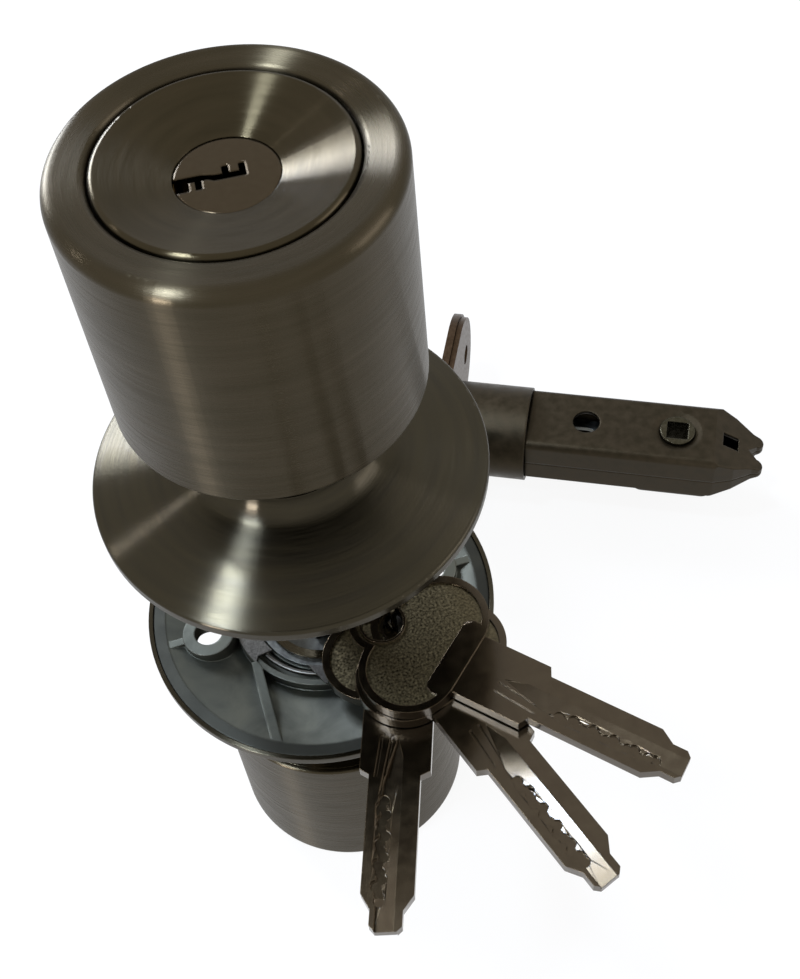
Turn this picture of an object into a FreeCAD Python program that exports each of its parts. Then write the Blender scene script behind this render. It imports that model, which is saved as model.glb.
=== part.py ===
import FreeCAD, Part
import math
import os
import Sketcher

# A knob lockset with a key cylinder in each knob, its tubular latch and three keys on a ring.
# The rear half stands on its knob with the open side of its rose up, and the front half stands
# over it on the square spindle. The latch lies beside them and the keys lie on the rear rose.
# Lengths are millimetres. The origin is on the knob axis in the rim plane of the rear rose,
# +Z runs from the rear knob to the front knob, and +X runs along the line of the screw holes.

doc = FreeCAD.newDocument("double_cylinder_lock")
sheet = doc.addObject("Spreadsheet::Sheet", "Sizes")

SIZES = [
    ("door_gap", 37.0, "between the rims of the two roses"),
    ("fit", 0.05, "running clearance on a radius"),
    ("slack", 0.3, "clearance between pieces that do not touch"),
    ("seat_gap", 0.1, "clearance between pieces that sit in one another"),
    ("knob_radius", 21.0, "knob drum"),
    ("knob_length", 36.8, "knob drum"),
    ("knob_height", 21.5, "rose rim to the near end of the knob"),
    ("knob_wall", 0.8, "sheet of the knob drum"),
    ("knob_edge", 1.8, "rounding of the knob's outer end"),
    ("knob_foot_edge", 0.55, "rounding of the knob's near end"),
    ("seam_width", 0.22, "seam round the knob face"),
    ("lip_depth", 3.6, "turned-in lip of the drum beside the seam"),
    ("face_radius", 15.5, "dished face of the knob"),
    ("face_wall", 0.9, "sheet of the dished face"),
    ("face_edge", 0.7, "rounding of the dished face"),
    ("dish_depth", 2.4, "knob end to the key plug"),
    ("flange_width", 1.6, "foot of the dished face under the lip"),
    ("neck_radius", 10.8, "visible neck of the knob"),
    ("neck_flare", 1.6, "rounding between neck and knob"),
    ("shank_radius", 9.6, "shank in the rose's sleeve"),
    ("shank_bore", 8.2, "bore of neck and shank"),
    ("shank_end", 2.0, "rose rim to the end of the shank"),
    ("base_wall", 0.9, "disc that closes the knob"),
    ("clip_start", 2.5, "rose rim to the knob's retaining clip"),
    ("clip_wall", 0.7, "retaining clip of the knob"),
    ("clip_radius", 10.8, "retaining clip of the knob"),
    ("clip_depth", 0.6, "groove of the retaining clip"),
    ("clip_opening", 40.0, "open angle of a clip, in degrees"),
    ("cylinder_radius", 9.2, "body of the key cylinder"),
    ("cylinder_length", 27.0, "body of the key cylinder"),
    ("holder_wall", 1.5, "sleeve that holds the key cylinder"),
    ("plug_radius", 6.2, "key plug"),
    ("plug_tail", 1.6, "plug behind the cylinder body"),
    ("plug_clip_wall", 0.6, "clip behind the cylinder body"),
    ("plug_clip_width", 1.3, "clip behind the cylinder body"),
    ("plug_groove", 0.8, "depth of the plug's clip groove"),
    ("plug_angle", -4.3, "key plug about the knob axis, in degrees"),
    ("keyway_length", 8.4, "keyway from the edge of the plug"),
    ("keyway_slot", 1.0, "narrow passage of the keyway"),
    ("keyway_step", 0.4, "rise of the keyway towards the edge of the plug"),
    ("keyway_tooth", 0.75, "width of one tooth of the keyway"),
    ("keyway_up", 1.7, "teeth of the keyway above its middle"),
    ("keyway_low", 1.5, "teeth of the keyway below its middle"),
    ("keyway_floor", 2.4, "solid end of the plug behind the keyway"),
    ("wafer_wall", 1.0, "thickness of a wafer"),
    ("wafer_pitch", 3.2, "wafer to wafer"),
    ("wafer_length", 10.6, "wafer along its slot"),
    ("wafer_width", 4.4, "wafer across its slot"),
    ("wafer_first", 4.0, "plug face to the first wafer"),
    ("wafer_window", 3.0, "key window in a wafer, across"),
    ("groove_depth", 1.0, "wafer grooves of the cylinder body"),
    ("tail_width", 4.2, "tailpiece blade"),
    ("tail_wall", 1.4, "tailpiece blade"),
    ("cam_radius", 5.2, "lock cam"),
    ("cam_wall", 1.6, "lock cam"),
    ("cam_lobe", 2.3, "lock cam's lobe"),
    ("cam_height", 15.2, "rose rim to the lock cam"),
    ("driver_start", 8.0, "rose rim to the spindle driver"),
    ("driver_length", 6.4, "spindle driver"),
    ("driver_floor", 1.2, "closed end of the spindle driver"),
    ("spindle_width", 4.2, "square spindle across flats"),
    ("rose_radius", 28.5, "rose cover"),
    ("rose_edge", 1.7, "upright edge of the rose cover"),
    ("rose_round", 0.5, "rounding of the rose cover's edge"),
    ("cover_wall", 0.7, "sheet of the rose cover"),
    ("cone_radius", 15.0, "inner end of the cover's cone"),
    ("cone_height", 5.6, "rose rim to the inner end of the cone"),
    ("collar_radius", 11.15, "inner wall of the cover's collar"),
    ("collar_height", 9.0, "rose rim to the top of the collar"),
    ("collar_sweep", 4.2, "hollow curve between cone and collar"),
    ("plate_wall", 1.2, "floor of the cast plate"),
    ("plate_rim", 1.9, "rim of the cast plate"),
    ("plate_step", 0.25, "cast rim behind the edge of the cover"),
    ("sleeve_start", 3.5, "rose rim to the plate's bearing sleeve"),
    ("sleeve_end", 8.0, "rose rim to the far end of the sleeve"),
    ("sleeve_radius", 11.0, "outside of the bearing sleeve"),
    ("wall_radius", 14.65, "round wall of the cast plate"),
    ("wall_width", 1.0, "round wall of the cast plate"),
    ("pocket_floor", 4.35, "rose rim to the floor of the spring pocket"),
    ("pocket_wall", 0.85, "floor of the spring pocket"),
    ("rib_width", 1.5, "ribs of the cast plate"),
    ("rib_offset", 12.8, "ribs from the knob axis"),
    ("rib_drop", 0.35, "rose rim to the top of the ribs"),
    ("web_width", 1.3, "webs from the bosses to the rim"),
    ("bolt_pitch", 38.0, "screw hole to screw hole"),
    ("boss_radius", 4.25, "boss round a screw hole"),
    ("screw_hole", 2.3, "screw hole radius in the boss"),
    ("cover_hole", 2.7, "screw hole radius in the rear cover"),
    ("spring_wire", 0.8, "return spring wire"),
    ("spring_radius", 12.2, "return spring, middle of the wire"),
    ("spring_pitch", 1.0, "return spring"),
    ("spring_turns", 1.25, "return spring"),
    ("cap_wall", 0.4, "cap over the return spring"),
    ("cap_start", 1.45, "rose rim to the spring cap"),
    ("cap_bore", 11.3, "hole of the spring cap"),
    ("post_radius", 2.6, "threaded post"),
    ("post_length", 25.0, "threaded post below the rose rim"),
    ("post_bore", 1.65, "thread of the post, at its crest"),
    ("post_bore_depth", 18.0, "thread of the post"),
    ("post_head", 3.2, "radius of the post's flange"),
    ("post_seat", 0.5, "depth of the flange's seat in the boss"),
    ("key_wall", 2.2, "thickness of a key"),
    ("key_gap", 0.2, "between keys that lie on one another"),
    ("key_bow", 7.7, "round ends of the bow"),
    ("key_bow_place", 7.6, "ring hole to the middle of the bow"),
    ("key_bow_spread", 5.0, "middle of the bow to the middle of a round end"),
    ("key_lobe", 5.3, "lobe round the ring hole"),
    ("key_hole", 3.3, "ring hole radius"),
    ("key_ring_border", 0.4, "raised border of the ring hole"),
    ("key_border", 1.2, "raised border of the bow"),
    ("key_field", 0.35, "depth of the bow's sunken field"),
    ("key_panel", 7.0, "half width of the smooth panel"),
    ("key_panel_corner", 1.5, "corner of the smooth panel"),
    ("key_panel_place", 11.4, "ring hole to the smooth panel"),
    ("key_shoulder", 5.4, "half width of the neck"),
    ("key_step", 0.12, "face of the bow to the face of the neck"),
    ("key_shoulder_slope", 0.8, "length of the step from neck to blade"),
    ("key_blade_place", 26.8, "ring hole to the blade"),
    ("key_blade_half", 3.9, "half width of the blade"),
    ("key_tip_place", 51.3, "ring hole to the tip"),
    ("key_tip_length", 3.1, "narrow tip"),
    ("key_tip_taper", 2.3, "length of the taper to the narrow tip"),
    ("key_tip_half", 2.4, "half width of the narrow tip"),
    ("key_ridge", 1.2, "ridge of the sloped face from the middle of the blade"),
    ("key_foot", 1.7, "foot of the sloped face from the middle of the blade"),
    ("key_slope_depth", 0.72, "depth of the sloped face at its foot"),
    ("key_groove_start", 21.0, "ring hole to the ends of the grooves"),
    ("key_groove_width", 0.4, "narrow grooves beside the sloped face"),
    ("key_groove_depth", 0.3, "narrow grooves beside the sloped face"),
    ("key_track", 0.85, "radius of one scallop of the wavy track"),
    ("key_track_depth", 0.75, "depth of the wavy track"),
    ("key_track_pitch", 1.1, "scallop to scallop"),
    ("key_track_place", 31.5, "ring hole to the first scallop"),
    ("key_track_wave", 0.45, "side swing of the wavy track"),
    ("key_track_offset", 1.35, "wavy track from the key's middle"),
    ("ring_wire", 0.5, "radius of the ring's wire"),
    ("ring_length", 9.5, "ring, middle of wire to middle of wire"),
    ("ring_bend", 1.25, "bends of the ring, middle of the wire"),
    ("plate_length", 56.0, "faceplate"),
    ("plate_width", 25.0, "faceplate"),
    ("plate_thick", 1.6, "faceplate"),
    ("plate_corner", 12.0, "corner of the faceplate"),
    ("backing_thick", 1.2, "backing plate"),
    ("backing_inset", 0.6, "backing plate inside the faceplate's outline"),
    ("plate_screws", 41.0, "faceplate screw hole to screw hole"),
    ("plate_screw_hole", 2.2, "faceplate screw hole radius"),
    ("tube_radius", 10.0, "barrel of the latch"),
    ("tube_wall", 0.8, "barrel of the latch"),
    ("tube_past_stop", 3.5, "barrel past the spring stop"),
    ("stop_gap", 1.2, "spring stop to the wide part of the drawbar"),
    ("stop_wall", 1.2, "spring stop"),
    ("backset", 51.0, "faceplate to the hub"),
    ("case_half_width", 7.8, "latch case"),
    ("case_half_depth", 6.3, "latch case"),
    ("case_wall", 0.9, "sheet of the latch case"),
    ("case_round", 1.5, "rounding of the long edges of the latch case"),
    ("case_low_depth", 4.8, "depth of the lower half between barrel and hub"),
    ("belly_place", 5.4, "hub to the full depth of the lower half"),
    ("belly_slope", 2.0, "length of the step to the full depth"),
    ("dimple_radius", 5.2, "dimple round the hub"),
    ("dimple_depth", 0.45, "dimple round the hub"),
    ("tail_bend", 7.8, "hub to the bend of the tail"),
    ("tail_taper", 8.3, "hub to where the sides of the tail draw in"),
    ("tail_mid", 12.2, "hub to the middle corner of the tapered sides"),
    ("tail_mid_half", 6.6, "half width of the tail at the middle corner"),
    ("tail_near", 16.0, "hub to the last corner of the tapered sides"),
    ("tail_near_half", 4.5, "half width of the tail at the last corner"),
    ("tail_hollow", 12.9, "hub to the end of the hollow in the tail"),
    ("tail_reach", 18.2, "hub to the tips of the tail"),
    ("tip_place", 3.0, "tips of the tail from the latch axis"),
    ("tip_round", 1.3, "rounding of the tips of the tail"),
    ("tail_height", 0.8, "tail at its tips above the middle plane"),
    ("notch_place", 15.1, "hub to the apex of the tail notch"),
    ("case_bolt_hole", 2.85, "post hole radius of the latch case"),
    ("tail_hole_place", 11.2, "hub to the square hole in the tail"),
    ("tail_hole", 3.3, "square hole in the tail"),
    ("hub_radius", 3.6, "latch hub"),
    ("hub_rise", 0.3, "hub above the case"),
    ("hub_square", 4.4, "square hole of the hub"),
    ("hub_arm", 4.9, "reach of a hub arm"),
    ("hub_arm_half", 1.5, "half width of a hub arm"),
    ("arm_low", 0.8, "hub arm above the middle plane"),
    ("arm_high", 2.6, "top of the hub arm"),
    ("bolt_throw", 9.0, "travel of the latch bolt"),
    ("bolt_back", 3.0, "faceplate to the back of the bolt"),
    ("bolt_half_width", 6.9, "latch bolt"),
    ("bolt_half_depth", 5.6, "latch bolt"),
    ("bolt_nose", 2.6, "flat nose of the latch bolt"),
    ("bar_half_wall", 0.5, "half thickness of the drawbar"),
    ("bar_half_width", 5.0, "drawbar"),
    ("bar_web", 2.5, "wide part of the drawbar before its post slot"),
    ("bar_reach", 3.2, "hub to the end of the drawbar"),
    ("stem_half", 3.0, "half width of the drawbar's stem"),
    ("tab_wall", 1.3, "tab of the drawbar"),
    ("bolt_spring_wire", 0.7, "bolt spring wire"),
    ("bolt_spring_radius", 5.4, "bolt spring, middle of the wire"),
    ("bolt_spring_turns", 4.0, "bolt spring"),
    ("latch_x", 83.3, "hub from the knob axis"),
    ("latch_y", 40.1, "hub from the knob axis"),
    ("latch_angle", -27.0, "latch about the vertical, in degrees"),
    ("key_a_x", 12.1, "ring hole of the lowest key"),
    ("key_a_y", -8.6, "ring hole of the lowest key"),
    ("key_a_angle", -109.7, "lowest key about the vertical, in degrees"),
    ("key_b_x", 11.2, "ring hole of the middle key"),
    ("key_b_y", -11.7, "ring hole of the middle key"),
    ("key_b_angle", -72.0, "middle key about the vertical, in degrees"),
    ("key_c_x", 7.9, "ring hole of the top key"),
    ("key_c_y", -11.5, "ring hole of the top key"),
    ("key_c_angle", -46.7, "top key about the vertical, in degrees"),
    ("ring_x", 10.0, "wire of the ring in the ring holes"),
    ("ring_y", -10.05, "wire of the ring in the ring holes"),
    ("ring_angle", 104.0, "ring about the vertical, in degrees"),
]

for row, (alias, value, meaning) in enumerate(SIZES, start=1):
    sheet.set("A%d" % row, alias)
    sheet.set("B%d" % row, str(value))
    sheet.set("C%d" % row, meaning)
    sheet.setAlias("B%d" % row, alias)
doc.recompute()


class Size:
    """A length with its value and the sheet expression that gives it."""

    def __init__(self, value, text):
        self.value = value
        self.text = text

    def __add__(self, other):
        return Size(self.value + value_of(other), "(%s + %s)" % (self.text, text_of(other)))

    def __radd__(self, other):
        return Size(value_of(other) + self.value, "(%s + %s)" % (text_of(other), self.text))

    def __sub__(self, other):
        return Size(self.value - value_of(other), "(%s - %s)" % (self.text, text_of(other)))

    def __rsub__(self, other):
        return Size(value_of(other) - self.value, "(%s - %s)" % (text_of(other), self.text))

    def __mul__(self, other):
        return Size(self.value * value_of(other), "(%s * %s)" % (self.text, text_of(other)))

    def __rmul__(self, other):
        return Size(value_of(other) * self.value, "(%s * %s)" % (text_of(other), self.text))

    def __truediv__(self, other):
        return Size(self.value / value_of(other), "(%s / %s)" % (self.text, text_of(other)))

    def __neg__(self):
        return Size(-self.value, "(0 - %s)" % self.text)


def value_of(size):
    return size.value if isinstance(size, Size) else float(size)


def text_of(size):
    return size.text if isinstance(size, Size) else "%.6g" % size


def cell(alias):
    return Size(float(sheet.get(alias)), "Sizes.%s" % alias)


S = {alias: cell(alias) for alias, value, meaning in SIZES}


def bind(target, path, size):
    """Ties one property of an object to the sheet."""
    target.setExpression(path, text_of(size))


def origin_plane(body, role):
    return [plane for plane in body.Origin.OriginFeatures if plane.Role == role][0]


def new_body(label):
    body = doc.addObject("PartDesign::Body", label)
    body.Label = label
    return body


def new_sketch(body, role="XZ_Plane", offset=None):
    """A sketch on one of the body's own planes, moved along that plane's normal."""
    sketch = body.newObject("Sketcher::SketchObject", body.Name + "_sketch")
    sketch.AttachmentSupport = [(origin_plane(body, role), "")]
    sketch.MapMode = "FlatFace"
    if offset is not None:
        bind(sketch, "AttachmentOffset.Base.z", offset)
    return sketch


def fix_point(sketch, shape, end, point):
    """Holds one end of a line or arc at a place given from the sheet."""
    for kind, axis, size in (("DistanceX", -2, point[0]), ("DistanceY", -1, point[1])):
        if text_of(size) == "0":
            sketch.addConstraint(Sketcher.Constraint("PointOnObject", shape, end, axis))
        else:
            index = sketch.addConstraint(
                Sketcher.Constraint(kind, -1, 1, shape, end, value_of(size)))
            if isinstance(size, Size):
                bind(sketch, "Constraints[%d]" % index, size)


def arc_between(start, finish, radius, side):
    """The short arc between two points, with its middle to the left for side 1."""
    half = (finish - start) * 0.5
    across = FreeCAD.Vector(-half.y, half.x, 0).normalize() * side
    depth = math.sqrt(max(radius ** 2 - half.Length ** 2, 0.0))
    middle = start + half + across * (depth - radius)
    return Part.Arc(start, middle, finish)


def draw(sketch, points):
    """A closed outline. A point is x, y, or x, y, radius, side for an arc that ends there."""
    places = [FreeCAD.Vector(value_of(point[0]), value_of(point[1]), 0) for point in points]
    ends = []
    for index, point in enumerate(points):
        start = places[index - 1]
        finish = places[index]
        if len(point) == 2:
            shape = sketch.addGeometry(Part.LineSegment(start, finish))
            ends.append((shape, 1, 2))
            continue
        shape = sketch.addGeometry(arc_between(start, finish, value_of(point[2]), point[3]))
        forward = (sketch.getPoint(shape, 1) - start).Length < 1e-6
        ends.append((shape, 1, 2) if forward else (shape, 2, 1))
    for index, point in enumerate(points):
        shape, first, last = ends[index]
        following, begin, after = ends[(index + 1) % len(points)]
        sketch.addConstraint(Sketcher.Constraint("Coincident", shape, last, following, begin))
        fix_point(sketch, shape, last, point)
        if len(point) == 4:
            size = point[2]
            radius = sketch.addConstraint(Sketcher.Constraint("Radius", shape, value_of(size)))
            bind(sketch, "Constraints[%d]" % radius, size)


def rectangle(low_x, low_y, high_x, high_y):
    return [(low_x, low_y), (high_x, low_y), (high_x, high_y), (low_x, high_y)]


def turned(label, points, open_angle=None):
    """A body turned about Z from an outline of radius and height."""
    body = new_body(label)
    sketch = new_sketch(body)
    draw(sketch, points)
    turn = body.newObject("PartDesign::Revolution", label + "_turn")
    turn.Profile = sketch
    turn.ReferenceAxis = (sketch, ["V_Axis"])
    turn.Angle = 360
    if open_angle is not None:
        bind(turn, "Angle", 360 - open_angle)
    body.Tip = turn
    return body


def raised(body, sketch, length, name="pad"):
    """Pads a sketch along its plane's normal."""
    pad = body.newObject("PartDesign::Pad", body.Name + "_" + name)
    pad.Profile = sketch
    bind(pad, "Length", length)
    body.Tip = pad
    return body


def prism(label, points, start, length, role="XY_Plane"):
    """A straight body from an outline, from start along the plane's normal."""
    body = new_body(label)
    sketch = new_sketch(body, role, start)
    draw(sketch, points)
    return raised(body, sketch, length)


def rod(label, x, y, radius, start, length):
    """A round bar along Z."""
    bar = doc.addObject("Part::Cylinder", label)
    bind(bar, "Radius", radius)
    bind(bar, "Height", length)
    bind(bar, "Placement.Base.x", x)
    bind(bar, "Placement.Base.y", y)
    bind(bar, "Placement.Base.z", start)
    return bar


def block(label, low, high):
    """A box between two corners."""
    box = doc.addObject("Part::Box", label)
    for side, least, most, axis in zip(("Length", "Width", "Height"), low, high, "xyz"):
        bind(box, side, most - least)
        bind(box, "Placement.Base.%s" % axis, least)
    return box


def cut(label, base, tools):
    """The base without the tools."""
    tool = tools[0]
    if len(tools) > 1:
        tool = doc.addObject("Part::MultiFuse", label + "_tools")
        tool.Shapes = tools
    result = doc.addObject("Part::Cut", label)
    result.Base = base
    result.Tool = tool
    result.Label = label
    return result


def joined(label, pieces):
    result = doc.addObject("Part::MultiFuse", label)
    result.Shapes = pieces
    result.Label = label
    return result


def shared(label, pieces):
    result = doc.addObject("Part::MultiCommon", label)
    result.Shapes = pieces
    return result


def group(label, pieces):
    """Separate solids that share one node."""
    result = doc.addObject("Part::Compound", label)
    result.Links = pieces
    result.Label = label
    return result


NODES = []


def place(node, turns=(), offset=(0, 0, 0)):
    """Sets a finished piece in the row's frame and lists it for writing."""
    rotation = FreeCAD.Rotation()
    for axis, angle in turns:
        rotation = rotation.multiply(FreeCAD.Rotation(FreeCAD.Vector(*axis), value_of(angle)))
    base = FreeCAD.Vector(*[value_of(size) for size in offset])
    node.Placement = FreeCAD.Placement(base, rotation)
    NODES.append(node)


FRONT = "front"
REAR = "rear"
UP = (0, 0, 1)
ALONG = (1, 0, 0)


def place_half(node, side, angle=0):
    """Sets a piece of a lock half. Heights run from the rose's rim plane towards the knob."""
    if side == FRONT:
        place(node, [(UP, angle)], (0, 0, S["door_gap"]))
    else:
        place(node, [(ALONG, 180), (UP, angle)])


# Heights in one half, from the rim plane of its rose
knob_end = S["knob_height"] + S["knob_length"]
base_top = S["knob_height"] + S["base_wall"]
dish_floor = knob_end - S["dish_depth"]
lip_radius = S["face_radius"] + S["seam_width"]
lip_end = knob_end - S["lip_depth"]
cylinder_top = dish_floor - S["face_wall"] - S["seat_gap"]
cylinder_foot = cylinder_top - S["cylinder_length"]
plug_face = dish_floor - S["seat_gap"]
plug_end = cylinder_foot - S["plug_tail"]
plug_bore = S["plug_radius"] + S["fit"]
cam_top = S["cam_height"] + S["cam_wall"]
neck_start = S["sleeve_end"] + S["slack"]
groove_floor = S["shank_radius"] - S["clip_depth"]
clip_end = S["clip_start"] + S["clip_wall"]
cap_end = S["cap_start"] + S["cap_wall"]
driver_radius = S["shank_bore"] - S["seat_gap"]
driver_end = S["driver_start"] + S["driver_length"]
socket_end = driver_end - S["driver_floor"]
half_pitch = S["bolt_pitch"] / 2


def knob_shell(side):
    """The drawn drum with its rounded outer end and the lip beside the seam."""
    radius = S["knob_radius"]
    wall = S["knob_wall"]
    edge = S["knob_edge"]
    foot = S["knob_foot_edge"]
    low = S["knob_height"]
    node = turned(side + "_knob_shell", [
        (radius - foot, low),
        (radius, low + foot, foot, 1),
        (radius, knob_end - edge),
        (radius - edge, knob_end, edge, 1),
        (lip_radius + S["face_edge"], knob_end),
        (lip_radius, knob_end - S["face_edge"], S["face_edge"], 1),
        (lip_radius, lip_end),
        (lip_radius + wall, lip_end),
        (lip_radius + wall, knob_end - wall),
        (radius - edge, knob_end - wall),
        (radius - wall, knob_end - edge, edge - wall, -1),
        (radius - wall, low)])
    place_half(node, side)


def knob_face(side):
    """The dished face with its skirt and the foot under the drum's lip."""
    radius = S["face_radius"]
    wall = S["face_wall"]
    edge = S["face_edge"]
    hole = S["plug_radius"] + S["seat_gap"]
    slope = S["dish_depth"] / (radius - edge - hole)
    inner = radius - wall
    foot = lip_end - wall
    node = turned(side + "_knob_face", [
        (radius, knob_end - edge),
        (radius - edge, knob_end, edge, 1),
        (hole, dish_floor),
        (hole, dish_floor - wall),
        (inner, dish_floor - wall + (inner - hole) * slope),
        (inner, foot),
        (radius + S["flange_width"], foot),
        (radius + S["flange_width"], lip_end),
        (radius, lip_end)])
    place_half(node, side)


def knob_base(side):
    """The disc that closes the drum, with the neck and the shank."""
    bore = S["shank_bore"]
    shank = S["shank_radius"]
    neck = S["neck_radius"]
    flare = S["neck_flare"]
    low = S["knob_height"]
    rim = S["knob_radius"] - S["knob_wall"] - S["fit"]
    node = turned(side + "_knob_base", [
        (bore, S["shank_end"]),
        (shank, S["shank_end"]),
        (shank, S["clip_start"]),
        (groove_floor, S["clip_start"]),
        (groove_floor, clip_end),
        (shank, clip_end),
        (shank, neck_start),
        (neck, neck_start),
        (neck, low - flare),
        (neck + flare, low, flare, -1),
        (rim, low),
        (rim, base_top),
        (bore, base_top)])
    place_half(node, side)


def cylinder_holder(side):
    """The sleeve between the knob's closing disc and its face that holds the cylinder."""
    inner = S["cylinder_radius"] + S["fit"]
    outer = inner + S["holder_wall"]
    node = turned(side + "_cylinder_holder",
                  rectangle(inner, base_top, outer, cylinder_top))
    place_half(node, side)


def cylinder_body(side):
    """The body of the key cylinder, with the grooves that the wafers lock into."""
    label = side + "_cylinder_body"
    ring = turned(label + "_ring", rectangle(
        plug_bore, cylinder_foot, S["cylinder_radius"], cylinder_top))
    reach = plug_bore + S["groove_depth"]
    half = S["wafer_width"] / 2 + S["slack"]
    low = cylinder_foot + S["plug_tail"]
    high = cylinder_top - S["plug_tail"]
    groove = block(label + "_groove", (-reach, -half, low), (reach, half, high))
    place_half(cut(label, ring, [groove]), side, S["plug_angle"])


WAFERS = 6


def wafer_height(index):
    """The lower face of one wafer."""
    return plug_face - S["wafer_first"] - S["wafer_pitch"] * index


def plug(side):
    """The key plug with its stepped keyway, wafer slots and clip groove."""
    label = side + "_plug"
    radius = S["plug_radius"]
    waist = radius - S["plug_groove"]
    groove_top = cylinder_foot - S["fit"]
    groove_foot = groove_top - S["plug_clip_wall"] - S["fit"]
    bar = turned(label + "_bar", [
        (0, plug_end), (radius, plug_end), (radius, groove_foot), (waist, groove_foot),
        (waist, groove_top), (radius, groove_top), (radius, plug_face), (0, plug_face)])
    slot = S["keyway_slot"] / 2
    step = S["keyway_step"]
    tooth = S["keyway_tooth"]
    up = S["keyway_up"]
    low = -S["keyway_low"]
    left = -radius - S["slack"]
    right = S["keyway_length"] - radius
    upper_tooth = -slot
    lower_tooth = -tooth * 5
    keyway = prism(label + "_keyway", [
        (left, slot + step),
        (left, low),
        (lower_tooth - tooth, low),
        (lower_tooth - tooth, step - slot),
        (lower_tooth, step - slot),
        (lower_tooth, low),
        (lower_tooth + tooth, low),
        (lower_tooth + tooth, step - slot),
        (lower_tooth + tooth * 2, step - slot),
        (lower_tooth + tooth * 3, -slot),
        (right, -slot),
        (right, up),
        (right - tooth, up),
        (right - tooth, slot),
        (upper_tooth + tooth, slot),
        (upper_tooth + tooth, up),
        (upper_tooth, up),
        (upper_tooth, slot),
        (upper_tooth - tooth, slot),
        (lower_tooth + tooth, slot + step)],
        plug_end + S["keyway_floor"], plug_face - plug_end)
    tools = [keyway]
    half = S["wafer_width"] / 2 + S["fit"]
    reach = radius + S["slack"]
    for index in range(WAFERS):
        low = wafer_height(index) - S["fit"]
        high = low + S["wafer_wall"] + S["fit"] * 2
        tools.append(block("%s_slot_%d" % (label, index), (-reach, -half, low), (reach, half, high)))
    place_half(cut(label, bar, tools), side, S["plug_angle"])


def wafers(side):
    """The wafers of one plug, drawn at the shear line, each with its key window."""
    label = side + "_wafers"
    along = S["wafer_length"] / 2
    across = S["wafer_width"] / 2
    window = S["wafer_window"] / 2
    reach = S["keyway_length"] / 2
    plates = []
    for index in range(WAFERS):
        low = wafer_height(index)
        high = low + S["wafer_wall"]
        plate = block("%s_plate_%d" % (label, index), (-along, -across, low), (along, across, high))
        hole = block("%s_window_%d" % (label, index),
                     (-reach, -window, low - S["slack"]), (reach, window, high + S["slack"]))
        plates.append(cut("%s_%d" % (label, index), plate, [hole]))
    place_half(group(label, plates), side, S["plug_angle"])


def plug_clip(side):
    """The open clip that holds the plug behind the cylinder body."""
    inner = S["plug_radius"] - S["plug_groove"] + S["fit"]
    top = cylinder_foot - S["fit"] * 2
    node = turned(side + "_plug_clip", rectangle(
        inner, top - S["plug_clip_wall"] + S["fit"], S["plug_radius"] + S["plug_clip_width"], top),
        S["clip_opening"])
    place_half(node, side, S["plug_angle"])


def tailpiece(side):
    """The flat blade from the plug to the lock cam, with a round root on the plug."""
    label = side + "_tailpiece"
    half = S["tail_width"] / 2
    thick = S["tail_wall"] / 2
    blade = block(label + "_blade", (-half, -thick, S["cam_height"]), (half, thick, plug_end))
    root = rod(label + "_root", 0, 0, half, plug_end - S["tail_wall"], S["tail_wall"])
    place_half(joined(label, [blade, root]), side, S["plug_angle"])


def lock_cam(side):
    """The cam on the tailpiece, a disc with one lobe."""
    label = side + "_lock_cam"
    low = S["cam_height"]
    lobe = S["cam_lobe"] / 2
    reach = S["shank_bore"] - S["slack"]
    disc = rod(label + "_disc", 0, 0, S["cam_radius"], low, S["cam_wall"])
    arm = block(label + "_lobe", (0, -lobe, low), (reach - lobe, lobe, cam_top))
    slot_x = S["tail_width"] / 2 + S["fit"]
    slot_y = S["tail_wall"] / 2 + S["fit"]
    slot = block(label + "_slot", (-slot_x, -slot_y, low - S["slack"]),
                 (slot_x, slot_y, cam_top + S["slack"]))
    place_half(cut(label, joined(label + "_blank", [disc, arm]), [slot]), side, S["plug_angle"])


def driver(side):
    """The disc in the shank whose square socket takes the spindle."""
    label = side + "_spindle_driver"
    half = S["spindle_width"] / 2 + S["seat_gap"]
    disc = rod(label + "_disc", 0, 0, driver_radius, S["driver_start"], S["driver_length"])
    socket = block(label + "_socket", (-half, -half, S["driver_start"] - S["slack"]),
                   (half, half, socket_end))
    place_half(cut(label, disc, [socket]), side)


def cover_outline():
    """The pressed rose cover: upright edge, cone, hollow curve and collar."""
    radius = S["rose_radius"]
    wall = S["cover_wall"]
    edge = S["rose_edge"]
    cone = S["cone_radius"]
    cone_height = S["cone_height"]
    collar = S["collar_radius"]
    top = S["collar_height"]
    sweep = S["collar_sweep"]
    return [
        (radius - wall, 0),
        (radius, 0),
        (radius, edge - S["rose_round"]),
        (radius - S["rose_round"], edge, S["rose_round"], 1),
        (cone, cone_height),
        (collar + wall, top, sweep, -1),
        (collar, top),
        (cone, cone_height - wall, sweep + wall, 1),
        (radius - wall, edge - wall)]


def rose_cover(side):
    """The brushed cover. The rear one has the two screw holes."""
    label = side + "_rose_cover"
    if side == FRONT:
        place_half(turned(label, cover_outline()), side)
        return
    blank = turned(label + "_blank", cover_outline())
    holes = [rod("%s_hole_%d" % (label, index), place_x, 0, S["cover_hole"], 0, S["collar_height"])
             for index, place_x in enumerate((-half_pitch, half_pitch))]
    place_half(cut(label, blank, holes), side)


def plate_slope():
    """How fast the cone of the cover falls towards its edge."""
    run = S["rose_radius"] - S["cover_wall"] - S["cone_radius"]
    return (S["cone_height"] - S["rose_edge"]) / run


def plate_top(radius):
    """Upper face of the cast plate under the cone of the cover."""
    fall = (radius - S["cone_radius"]) * plate_slope()
    return S["cone_height"] - S["cover_wall"] - S["seat_gap"] - fall


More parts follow.
